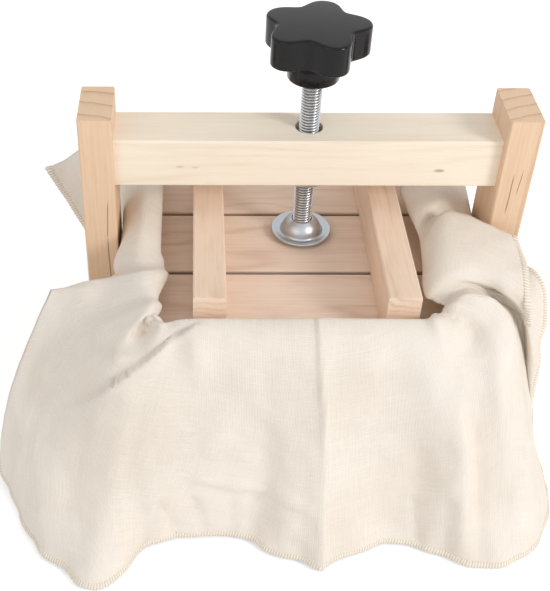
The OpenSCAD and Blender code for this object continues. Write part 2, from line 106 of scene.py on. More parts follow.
def make_camera():
    """The photograph's view, solved from the edges of the beam, posts and battens."""
    sensor = 36.0
    place = mm(-44.0, -362.7, 358.8)
    pitch, roll, yaw = (math.radians(a) for a in (40.08, 0.70, -0.98))
    data = bpy.data.cameras.new("camera")
    data.sensor_width = sensor
    data.lens = FOCAL_PX * sensor / PHOTO_H
    data.shift_x = (PHOTO_W / 2 - CENTRE_PX.x) / PHOTO_H
    data.shift_y = (CENTRE_PX.y - PHOTO_H / 2) / PHOTO_H
    data.clip_start, data.clip_end = 0.01, 20
    camera = bpy.data.objects.new("camera", data)
    scene.collection.objects.link(camera)
    level = Vector((math.cos(yaw), math.sin(yaw), 0))
    ahead = Vector((-math.sin(yaw), math.cos(yaw), 0))
    up = Vector((0, 0, 1))
    look = math.cos(pitch) * ahead - math.sin(pitch) * up
    top = math.sin(pitch) * ahead + math.cos(pitch) * up
    right = math.cos(roll) * level + math.sin(roll) * top
    above = math.cos(roll) * top - math.sin(roll) * level
    turned = Matrix((right, above, -look)).transposed().to_4x4()
    camera.matrix_world = Matrix.Translation(place) @ turned
    scene.camera = camera


def area_light(name, place, target, size, power):
    """A rectangular light that faces its target."""
    data = bpy.data.lights.new(name, "AREA")
    data.shape = "RECTANGLE"
    data.size, data.size_y = size
    data.energy = power
    light = bpy.data.objects.new(name, data)
    light.location = place
    light.rotation_euler = (Vector(target) - Vector(place)).to_track_quat("-Z", "Y").to_euler()
    scene.collection.objects.link(light)


class Wire:
    """An output socket that takes part in Python arithmetic."""

    def __init__(self, finish, socket):
        self.finish, self.socket = finish, socket

    def math(self, operation, *values):
        return self.finish.node("Math", {"operation": operation}, [self, *values])

    def __add__(self, other):
        return self.math("ADD", other)

    __radd__ = __add__

    def __mul__(self, other):
        return self.math("MULTIPLY", other)

    __rmul__ = __mul__

    def __sub__(self, other):
        return self.math("SUBTRACT", other)

    def __rsub__(self, other):
        return self.finish.node("Math", {"operation": "SUBTRACT"}, [other, self])

    def __truediv__(self, other):
        return self.math("DIVIDE", other)

    def __pow__(self, other):
        return self.math("POWER", other)

    def clamp(self):
        return self.math("MAXIMUM", 0.0).math("MINIMUM", 1.0)

    def step(self, low, high):
        """0 below low, 1 above high, smooth between."""
        return self.finish.node(
            "MapRange", {"interpolation_type": "SMOOTHSTEP"},
            {"Value": self, "From Min": low, "From Max": high},
        )


class Finish:
    """A material, built node by node."""

    def __init__(self, name, **settings):
        self.material = bpy.data.materials.new(name)
        self.material.use_nodes = True
        self.tree = self.material.node_tree
        self.shader = self.tree.nodes["Principled BSDF"]
        for key, value in settings.items():
            self.shader.inputs[key.replace("_", " ")].default_value = value

    def feed(self, socket, value):
        if isinstance(value, Wire):
            self.tree.links.new(value.socket, socket)
        elif isinstance(value, (tuple, list)) and len(value) == 3 and socket.type == "RGBA":
            socket.default_value = (*value, 1)
        else:
            socket.default_value = value

    def node(self, kind, settings=None, values=(), out=0):
        """A new node of a kind, with its settings and the values or wires of its sockets."""
        made = self.tree.nodes.new("ShaderNode" + kind)
        for key, value in (settings or {}).items():
            setattr(made, key, value)
        pairs = values.items() if isinstance(values, dict) else enumerate(values)
        for key, value in pairs:
            self.feed(made.inputs[key], value)
        return Wire(self, made.outputs[out])

    def place(self, shift=(0, 0, 0), scale=(1, 1, 1)):
        """Object coordinates in millimetres, moved and then scaled."""
        here = self.node("TexCoord", out="Object")
        grown = self.node("VectorMath", {"operation": "MULTIPLY"}, [here, (1000, 1000, 1000)])
        moved = self.node("VectorMath", {"operation": "ADD"}, [grown, shift])
        return self.node("VectorMath", {"operation": "MULTIPLY"}, [moved, scale])

    def split(self, vector):
        return [self.node("SeparateXYZ", None, [vector], out=k) for k in range(3)]

    def noise(self, vector, scale=1.0, detail=3.0, rough=0.5):
        return self.node(
            "TexNoise", None,
            {"Vector": vector, "Scale": scale, "Detail": detail, "Roughness": rough}, out="Fac",
        )

    def mix(self, factor, one, two):
        return self.node(
            "Mix", {"data_type": "RGBA"}, {0: factor, 6: one, 7: two}, out=2
        )

    def bump(self, height, distance, strength=1.0):
        return self.node(
            "Bump", None, {"Height": height, "Distance": distance, "Strength": strength}, out="Normal"
        )

    def set(self, **wires):
        for key, value in wires.items():
            self.feed(self.shader.inputs[key.replace("_", " ")], value)
        return self.material


def srgb(*levels):
    """A colour read off a screen, 0 to 255, as the shader's linear colour."""
    shares = [v / 255 for v in levels]
    return tuple(s / 12.92 if s <= 0.04045 else ((s + 0.055) / 1.055) ** 2.4 for s in shares)


def make_stage():
    """A white floor that keeps the object's soft shadow, a world that is white where the camera or a
    reflection sees it and grey as a light, and two soft lights."""
    bm = bmesh.new()
    bmesh.ops.create_grid(bm, x_segments=1, y_segments=1, size=4)
    mesh = bpy.data.meshes.new("floor")
    bm.to_mesh(mesh)
    bm.free()
    floor = bpy.data.objects.new("floor", mesh)
    floor.location.z = cad_box[0].z - 0.0002
    scene.collection.objects.link(floor)
    finish = Finish("floor_white", Roughness=0.9, Specular_IOR_Level=0.1, Emission_Strength=1.0)
    shown = finish.node("LightPath", out="Is Camera Ray") + finish.node("LightPath", out="Is Glossy Ray")
    glow = finish.mix(shown.clamp(), (0, 0, 0), (0.42, 0.42, 0.42))
    finish.set(Base_Color=(0.9, 0.9, 0.9), Emission_Color=glow)
    mesh.materials.append(finish.material)

    world = bpy.data.worlds.new("studio")
    scene.world = world
    world.use_nodes = True
    links, nodes = world.node_tree.links, world.node_tree.nodes
    path, level = nodes.new("ShaderNodeLightPath"), nodes.new("ShaderNodeMix")
    white = nodes.new("ShaderNodeMath")
    white.operation = "MAXIMUM"
    links.new(path.outputs["Is Camera Ray"], white.inputs[0])
    links.new(path.outputs["Is Glossy Ray"], white.inputs[1])
    level.data_type = "RGBA"
    level.inputs[6].default_value = (0.7, 0.7, 0.7, 1)
    level.inputs[7].default_value = (1, 1, 1, 1)
    links.new(white.outputs[0], level.inputs[0])
    links.new(level.outputs[2], nodes["Background"].inputs["Color"])
    middle = (0, 0, 0.06)
    area_light("key", (0.98, -0.78, 0.78), middle, size=(0.4, 0.4), power=8.4)
    area_light("fill", (-0.8, -1.0, 0.6), middle, size=(0.8, 0.8), power=2)


# ---- wood ----

ALONG = {"X": 0, "Y": 1, "Z": 2}
KNOT_SHARE = 0.38           # width of a knot's mark for its length along the grain


def scars_and_seam_shade(finish, here, along, ripple, marks, cracks, seams):
    """How strongly knots and cracks darken the wood, and the seams between planks, darkened partly as grime
    and partly as painted shade, or None where there are none.
    """
    spots = []
    for x, y, z, size, depth in marks:
        reach = [here[0] - x, here[1] - y, here[2] - z]
        reach[along] = reach[along] * KNOT_SHARE
        far = (reach[0] * reach[0] + reach[1] * reach[1] + reach[2] * reach[2]) ** 0.5
        spots.append((1 - (far + ripple * size * 0.8).step(size * 0.35, size)) * depth)
    for x, z, top_x, top_z, width in cracks:
        rise = here[2] - z
        off = (here[0] - x - rise * ((top_x - x) / (top_z - z)) + ripple * 1.1).math("ABSOLUTE")
        inside = rise.step(0, 4) * (1 - rise.step(top_z - z - 5, top_z - z))
        front = (0 - finish.split(finish.node("TexCoord", out="Normal"))[1]).step(0.7, 0.9)
        spots.append((1 - off.step(width * 0.4, width)) * inside * front * 0.75)
    # seams between planks: painted shade in the gap, together with grime
    for y in seams:
        off = (here[1] - y).math("ABSOLUTE")
        spots.append((1 - off.step(SEAM_W / 2, SEAM_W / 2 + 0.5)) * 0.55)
    deepest = spots[0] if spots else None
    for spot in spots[1:]:
        deepest = deepest.math("MAXIMUM", spot)
    return deepest


def wood(name, axis, light, dark, seed, ring_gap=3.2, ring_share=0.45, streak_share=0.5, marks=(),
         cracks=(), pith=None, seams=()):
    """Planed wood: growth rings round a pith beside the piece, drawn out along the grain, with fine
    streaks, short pores and end grain. A mark is (x, y, z, radius, depth) in millimetres, and a crack,
    which runs up the front, (x, z, x, z, width). Where a pith is given, the rings round it are thin and
    wide apart, as on the end of a post. A seam is a place across Y where the wood is dark, partly as
    grime and partly as painted shade in the gap between planks."""
    finish = Finish(name, Roughness=0.62, Specular_IOR_Level=0.3)
    drift = (seed * 37.1 % 90, seed * 53.7 % 90, seed * 71.3 % 90)
    along = ALONG[axis]
    across = [k for k in range(3) if k != along]

    def stretched(length, width):
        scale = [1 / width] * 3
        scale[along] = 1 / length
        return finish.place(drift, tuple(scale))

    sway = finish.noise(stretched(90, 24), detail=2) - 0.5
    ripple = finish.noise(stretched(26, 5), detail=2) - 0.5
    here = finish.split(finish.place())
    centre = pith or (seed * 17.3 % 30 - 50, seed * 29.9 % 36 - 62)
    a, b = here[across[0]] - centre[0], here[across[1]] - centre[1]
    radius = (a * a + b * b) ** 0.5 + sway * (4 if pith else 16) + ripple * 1.6
    if pith:
        rings = (radius / ring_gap).math("FRACT") ** 7
        end_shade = rings * 0.75 - 0.05
    else:
        rings = ((radius * (2 * math.pi / ring_gap)).math("SINE") * 0.5 + 0.5) ** 2.2
        end_shade = rings * 0.28 - 0.02
    patch = finish.noise(stretched(70, 9), detail=3)
    streak = finish.noise(stretched(34, 0.9), detail=4, rough=0.62)
    pores = finish.noise(stretched(9, 0.35), detail=2).step(0.62, 0.74)
    end = finish.split(finish.node("TexCoord", out="Normal"))[along].math("ABSOLUTE").step(0.8, 0.95)
    shade = (
        rings * patch.step(0.3, 0.75) * ring_share
        + (streak - 0.42) * streak_share * 1.5
        + (patch - 0.5) * 0.45
        + pores * 0.22
    ) * (1 - end * 0.35) + end * end_shade
    colour = finish.mix(shade.clamp(), light, dark)
    scar_and_seam_shade = scars_and_seam_shade(finish, here, along, ripple, marks, cracks, seams)
    # darkened at knots and cracks, and with grime and painted shade at the seams
    if scar_and_seam_shade is not None:
        colour = finish.mix(scar_and_seam_shade, colour, tuple(0.35 * c for c in dark))
    height = streak * 0.6 - pores * 0.5 - rings * 0.2
    return finish.set(
        Base_Color=colour,
        Roughness=0.5 + streak * 0.22,
        Normal=finish.bump(height, 0.00012, 0.6),
    )


POST_LIGHT, POST_DARK = srgb(232, 201, 170), srgb(196, 148, 110)
BEAM_LIGHT, BEAM_DARK = srgb(248, 235, 216), srgb(226, 203, 170)
LID_LIGHT, LID_DARK = srgb(243, 220, 201), srgb(208, 176, 153)
BATTEN_LIGHT, BATTEN_DARK = srgb(239, 213, 190), srgb(208, 175, 147)
BASE_LIGHT, BASE_DARK = srgb(231, 206, 174), srgb(200, 165, 128)

GRAIN = {
    **dict.fromkeys(("left_post", "right_post"), ("Z", POST_LIGHT, POST_DARK)),
    "top_beam": ("X", BEAM_LIGHT, BEAM_DARK),
    **dict.fromkeys(("front_plank", "middle_plank", "back_plank"), ("X", LID_LIGHT, LID_DARK)),
    **dict.fromkeys(("left_batten", "right_batten"), ("Y", BATTEN_LIGHT, BATTEN_DARK)),
    **dict.fromkeys(("mould_front", "mould_back"), ("X", LID_LIGHT, LID_DARK)),
    **dict.fromkeys(("mould_left", "mould_right"), ("Y", LID_LIGHT, LID_DARK)),
    **dict.fromkeys(("left_bearer", "right_bearer"), ("Y", BASE_LIGHT, BASE_DARK)),
    **dict.fromkeys(
        ("cross_rail", "front_slat", "front_inner_slat", "middle_slat", "back_inner_slat", "back_slat"),
        ("X", BASE_LIGHT, BASE_DARK),
    ),
}
BEAM_KNOTS = [(-49.5, -11.2, 128.5, 0.8, 0.3), (52, -11.2, 127, 1.0, 0.6), (-43.5, -11.2, 128.2, 0.7, 0.25)]
PLANK_MIDDLE = box_mm("middle_plank")
# Seams between the planks, darkened partly as grime and partly as painted shade
SEAMS = [(PLANK_FRONT[1].y + PLANK_MIDDLE[0].y) / 2, (PLANK_MIDDLE[1].y + PLANK_BACK[0].y) / 2]
SEAM_W = PLANK_MIDDLE[0].y - PLANK_FRONT[1].y
# Distance between a post's growth rings and the place of its pith
POST_RINGS = {"left_post": (8.8, -89.6, -44.7), "right_post": (6.7, 120.8, -102.5)}
CRACKS = {
    "left_post": [(-78.4, 66, -79.2, 98, 0.35), (-79.2, 95, -77.8, 116, 0.3)],
    "right_post": [(80.3, 108, 80.7, 129, 0.32), (83.1, 117, 83.9, 131, 0.25)],
}


def coat(node, material):
    """Gives a CAD node its finish."""
    mesh = bpy.data.objects[node].data
    mesh.materials.clear()
    mesh.materials.append(material)


def finish_wood():
    """Gives each wooden node its own grain."""
    for seed, (node, (axis, light, dark)) in enumerate(GRAIN.items(), start=3):
        extra = {}
        if node == "top_beam":
            extra = {"ring_gap": 4.5, "ring_share": 0.3, "streak_share": 0.35, "marks": BEAM_KNOTS}
        if "post" in node:
            gap, *pith = POST_RINGS[node]
            extra = {"ring_gap": gap, "ring_share": 0.4, "cracks": CRACKS[node], "pith": pith}
        if "plank" in node:
            extra = {"seams": SEAMS}
        coat(node, wood(node + "_wood", axis, light, dark, seed, **extra))


# ---- metal and plastic ----

THREAD_PITCH = 1.25
THREAD_DEPTH = 0.77
SCREW_R = 4.0


def steel(name, tone=srgb(196, 200, 205), rough=0.3, threaded=False):
    """Zinc plate. On a thread the grooves are darker, by their distance from the screw's axis: partly oil in
    the roots and partly painted shade.
    """
    finish = Finish(name, Metallic=1.0)
    cloud = finish.noise(finish.place(), scale=0.35, detail=3)
    fine = finish.noise(finish.place(), scale=3.0, detail=2)
    colour = finish.mix(cloud, tuple(c * 0.86 for c in tone), tone)
    if threaded:
        x, y, _ = finish.split(finish.place((-AXIS_X, 0, 0)))
        # painted shade: the thread's roots are darkened, partly as oil and partly as the shade that falls in
        # them
        groove_oil_and_shade = 1 - ((x * x + y * y) ** 0.5).step(SCREW_R - THREAD_DEPTH * 0.9, SCREW_R - THREAD_DEPTH * 0.3)
        colour = finish.mix(groove_oil_and_shade * 0.85, colour, srgb(96, 88, 76))
    return finish.set(
        Base_Color=colour,
        Roughness=rough + cloud * 0.16,
        Normal=finish.bump(fine, 0.00004, 0.5),
    )


def brass():
    """The turned insert in the knob."""
    finish = Finish("insert_brass", Metallic=1.0)
    cloud = finish.noise(finish.place(), scale=0.6, detail=2)
    colour = finish.mix(cloud, (0.55, 0.42, 0.2), (0.66, 0.52, 0.28))
    return finish.set(Base_Color=colour, Roughness=0.3 + cloud * 0.1)


def black_gloss():
    """Gloss moulded plastic with a faint orange peel."""
    finish = Finish("black_plastic", Specular_IOR_Level=0.23)
    skin = finish.noise(finish.place(), scale=0.5, detail=3)
    orange_peel = finish.noise(finish.place(), scale=1.1, detail=1)
    return finish.set(
        Base_Color=finish.mix(skin, (0.006, 0.006, 0.007), (0.011, 0.011, 0.012)),
        Roughness=0.1 + skin * 0.06,
        Normal=finish.bump(orange_peel, 0.00005, 0.4),
    )


def link(name, bm):
    """A smooth-shaded object from a finished mesh, with its place in the mesh."""
    mesh = bpy.data.meshes.new(name)
    bm.to_mesh(mesh)
    bm.free()
    mesh.shade_smooth()
    piece = bpy.data.objects.new(name, mesh)
    scene.collection.objects.link(piece)
    return piece


def roll(name, around, rows, point):
    """A grid of rows rolled into a closed form. point(angle, row) gives a place in millimetres."""
    bm = bmesh.new()
    bmesh.ops.create_grid(bm, x_segments=around, y_segments=rows - 1, size=1)
    for vertex in bm.verts:
        angle = 2 * math.pi * (round((vertex.co.x + 1) / 2 * around) % around) / around
        vertex.co = point(angle, round((vertex.co.y + 1) / 2 * (rows - 1))) * MM
    bmesh.ops.remove_doubles(bm, verts=bm.verts, dist=0.000002)
    bmesh.ops.recalc_face_normals(bm, faces=bm.faces)
    return link(name, bm)


def turned(name, profile, steps=96):
    """A ring turned round the screw's axis from a closed loop of (radius, height) pairs."""
    bm = bmesh.new()
    corners = [bm.verts.new(mm(AXIS_X + radius, 0, height)) for radius, height in profile]
    loop = [bm.edges.new(pair) for pair in zip(corners, [*corners[1:], corners[0]])]
    bmesh.ops.spin(
        bm, geom=corners + loop, cent=mm(AXIS_X, 0, 0), axis=(0, 0, 1), dvec=(0, 0, 0),
        angle=2 * math.pi, steps=steps, use_merge=True,
    )
    bmesh.ops.remove_doubles(bm, verts=bm.verts, dist=0.000002)
    bmesh.ops.recalc_face_normals(bm, faces=bm.faces)
    return link(name, bm)


def make_screw(material):
    """The threaded screw: flat collar, cone, rolled right-hand thread and a chamfered end."""
    foot, top = SCREW[0].z, SCREW[1].z
    collar_r, collar_h = (SCREW[1].x - SCREW[0].x) / 2, 3.3
    start, end = foot + collar_h + 0.3, top - 0.8
    crest_flat, flank = 0.12, 0.74      # shares of half a pitch
    rows_a_turn = 10
    count = round((end - start) / THREAD_PITCH * rows_a_turn)
    rows = [(0, foot), (collar_r - 0.2, foot), (collar_r, foot + 0.2), (collar_r, foot + collar_h / 2)]
    rows += [(SCREW_R - THREAD_DEPTH, foot + collar_h)]
    rows += [(None, start + (end - start) * k / count) for k in range(count + 1)]
    rows += [(SCREW_R - THREAD_DEPTH, top), (0, top)]

    def point(angle, row):
        radius, z = rows[row]
        if radius is None:
            phase = ((z - foot) / THREAD_PITCH - angle / (2 * math.pi)) % 1
            slope = abs(phase - 0.5) * 2
            cut = min(max((slope - crest_flat) / flank, 0), 1)
            fade = min(1, (z - start) / 1.2 + 0.1, (end - z) / 0.8 + 0.2)
            radius = SCREW_R - 0.02 - THREAD_DEPTH * (1 - (1 - cut) * fade)
        return Vector((AXIS_X + radius * math.cos(angle), radius * math.sin(angle), z))

    screw = roll("threaded_screw", 48, len(rows), point)
    screw.data.materials.append(material)
    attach(screw, "screw")
    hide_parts("screw")


def make_foot(material):
    """The pressed foot: upturned flange, a soft dome and a rolled mouth round the screw."""
    low, r = FOOT[0].z - 0.5, (FOOT[1].x - FOOT[0].x) / 2
    flange = [
        (7.3, 0.55), (7.9, 0.5), (9.3, 0.5), (r - 0.9, 1.45), (r - 0.3, 1.65), (r - 0.05, 1.95),
        (r, 2.25), (r - 0.1, 2.6), (r - 0.4, 2.75), (r - 0.9, 2.62), (10.4, 2.15), (9.5, 1.85),
    ]
    dome = [
        (9.0, 1.9), (8.65, 2.15), (8.4, 2.6), (8.25, 3.2), (7.98, 4.0), (7.6, 4.8), (7.05, 5.65),
        (6.35, 6.45), (5.6, 7.1), (5.0, 7.55), (4.65, 7.85), (4.4, 8.0),
    ]
    mouth = [(4.22, 7.95), (4.15, 7.75), (4.2, 7.4)]
    inner = [(4.6, 6.95), (5.3, 6.35), (6.0, 5.6), (6.6, 4.7), (7.05, 3.7), (7.25, 2.6), (7.25, 1.2)]
    foot = turned("spun_foot", [(a, low + b) for a, b in flange + dome + mouth + inner])
    foot.data.materials.append(material)
    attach(foot, "foot")
    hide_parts("foot_cup")


def make_knob(material):
    """The star knob: five broad lobes with fine rounded edges, a slightly crowned top and a turned hub."""
    foot, top = KNOB[0].z, KNOB[1].z
    insert = box_mm("knob_insert")
    hole, bottom = (insert[1].x - insert[0].x) / 2, insert[1].z
    hub, head, wide = 10.25, foot + 9.8, 20.6
    lobes, dip, tilt = 5, 5.6, math.radians(3)
    under, over, crown = 0.9, 1.0, 0.7      # radius of the head's lower and upper edge, rise of its top

    def star(angle):
        return wide - dip * ((1 - math.cos(lobes * (angle - tilt))) / 2) ** 1.15

    rows = [("round", 0, bottom), ("round", hole, bottom), ("round", hole, foot)]
    rows += [("round", hub - 0.85, foot), ("round", hub - 0.45, foot + 0.12)]
    rows += [("round", hub - 0.25, foot + 0.5), ("round", hub - 0.1, foot + 5)]
    rows += [("round", hub, head - 0.25), ("round", hub + 0.25, head)]
    rows += [("blend", k / 4, head) for k in (1, 2, 3)]
    lower = [math.radians(15 * k) for k in range(7)]
    rows += [("inset", under * (1 - math.sin(a)), head + under * (1 - math.cos(a))) for a in lower]
    rows += [("inset", 0, head + 3), ("inset", 0, head + 7)]
    upper = [math.radians(11.25 * k) for k in range(9)]
    rows += [("edge", over * (1 - math.cos(a)), over * (1 - math.sin(a))) for a in upper]
    rows += [("scale", 1 - k / 12, 0) for k in range(1, 13)]

    def point(angle, row):
        kind, value, z = rows[row]
        outline = star(angle)
        if kind == "round":
            radius = value
        elif kind == "blend":
            radius = (hub + 0.25) * (1 - value) + (outline - under) * value
        elif kind == "inset":
            radius = outline - value
        else:
            radius = outline - value if kind == "edge" else (outline - over) * value
            z = top - z - crown * (radius / wide) ** 2
        return Vector((AXIS_X + radius * math.cos(angle), radius * math.sin(angle), z))

    knob = roll("star_knob", 240, len(rows), point)
    knob.data.materials.append(material)
    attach(knob, "screw")
    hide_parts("knob")


def finish_metal():
    """Metal and plastic finishes, and the three finer pieces."""
    zinc = steel("zinc_steel")
    bright = steel("bright_zinc", srgb(220, 222, 226), 0.2, threaded=True)
    for node in ("beam_nut", "frame_screws", "slat_nails", "lid_nails", "screw", "foot_cup", "foot_plate"):
        coat(node, zinc)
    coat("knob_insert", brass())
    gloss = black_gloss()
    coat("knob", gloss)
    make_screw(bright)
    make_foot(steel("pressed_zinc", srgb(198, 203, 208), 0.32))
    make_knob(gloss)


# ---- cheesecloth ----

CLOTH_T = 0.5
FLOOR_HEM = 0.9             # height of a hem that lies on the table
LINING_GAP = 0.9            # from the mould's inside to the middle of the cloth
COLUMN_GAP = 2.3            # distance between columns where they stand furthest apart
LID_RISE = 10.6             # how far the lid comes up past the drape, and a little more
LID_GAP, MOULD_GAP, POST_GAP = 0.9, 1.0, 0.5
LIFTED = PLANK_BACK[1].z + LID_RISE + LID_GAP      # least height of the cloth over the lid
POINT_MM = 0.45             # about what a point of the picture spans on the cloth's front

# Quads down a column: across the bottom, up the wall, over the edge, to the roll's inner side, over the
# roll to its crest, then to the shoulder, waist, belly and hem
ROWS = (3, 4, 6, 8, 10, 12, 14, 16, 22)
FIRST_OUT = sum(ROWS[:5])

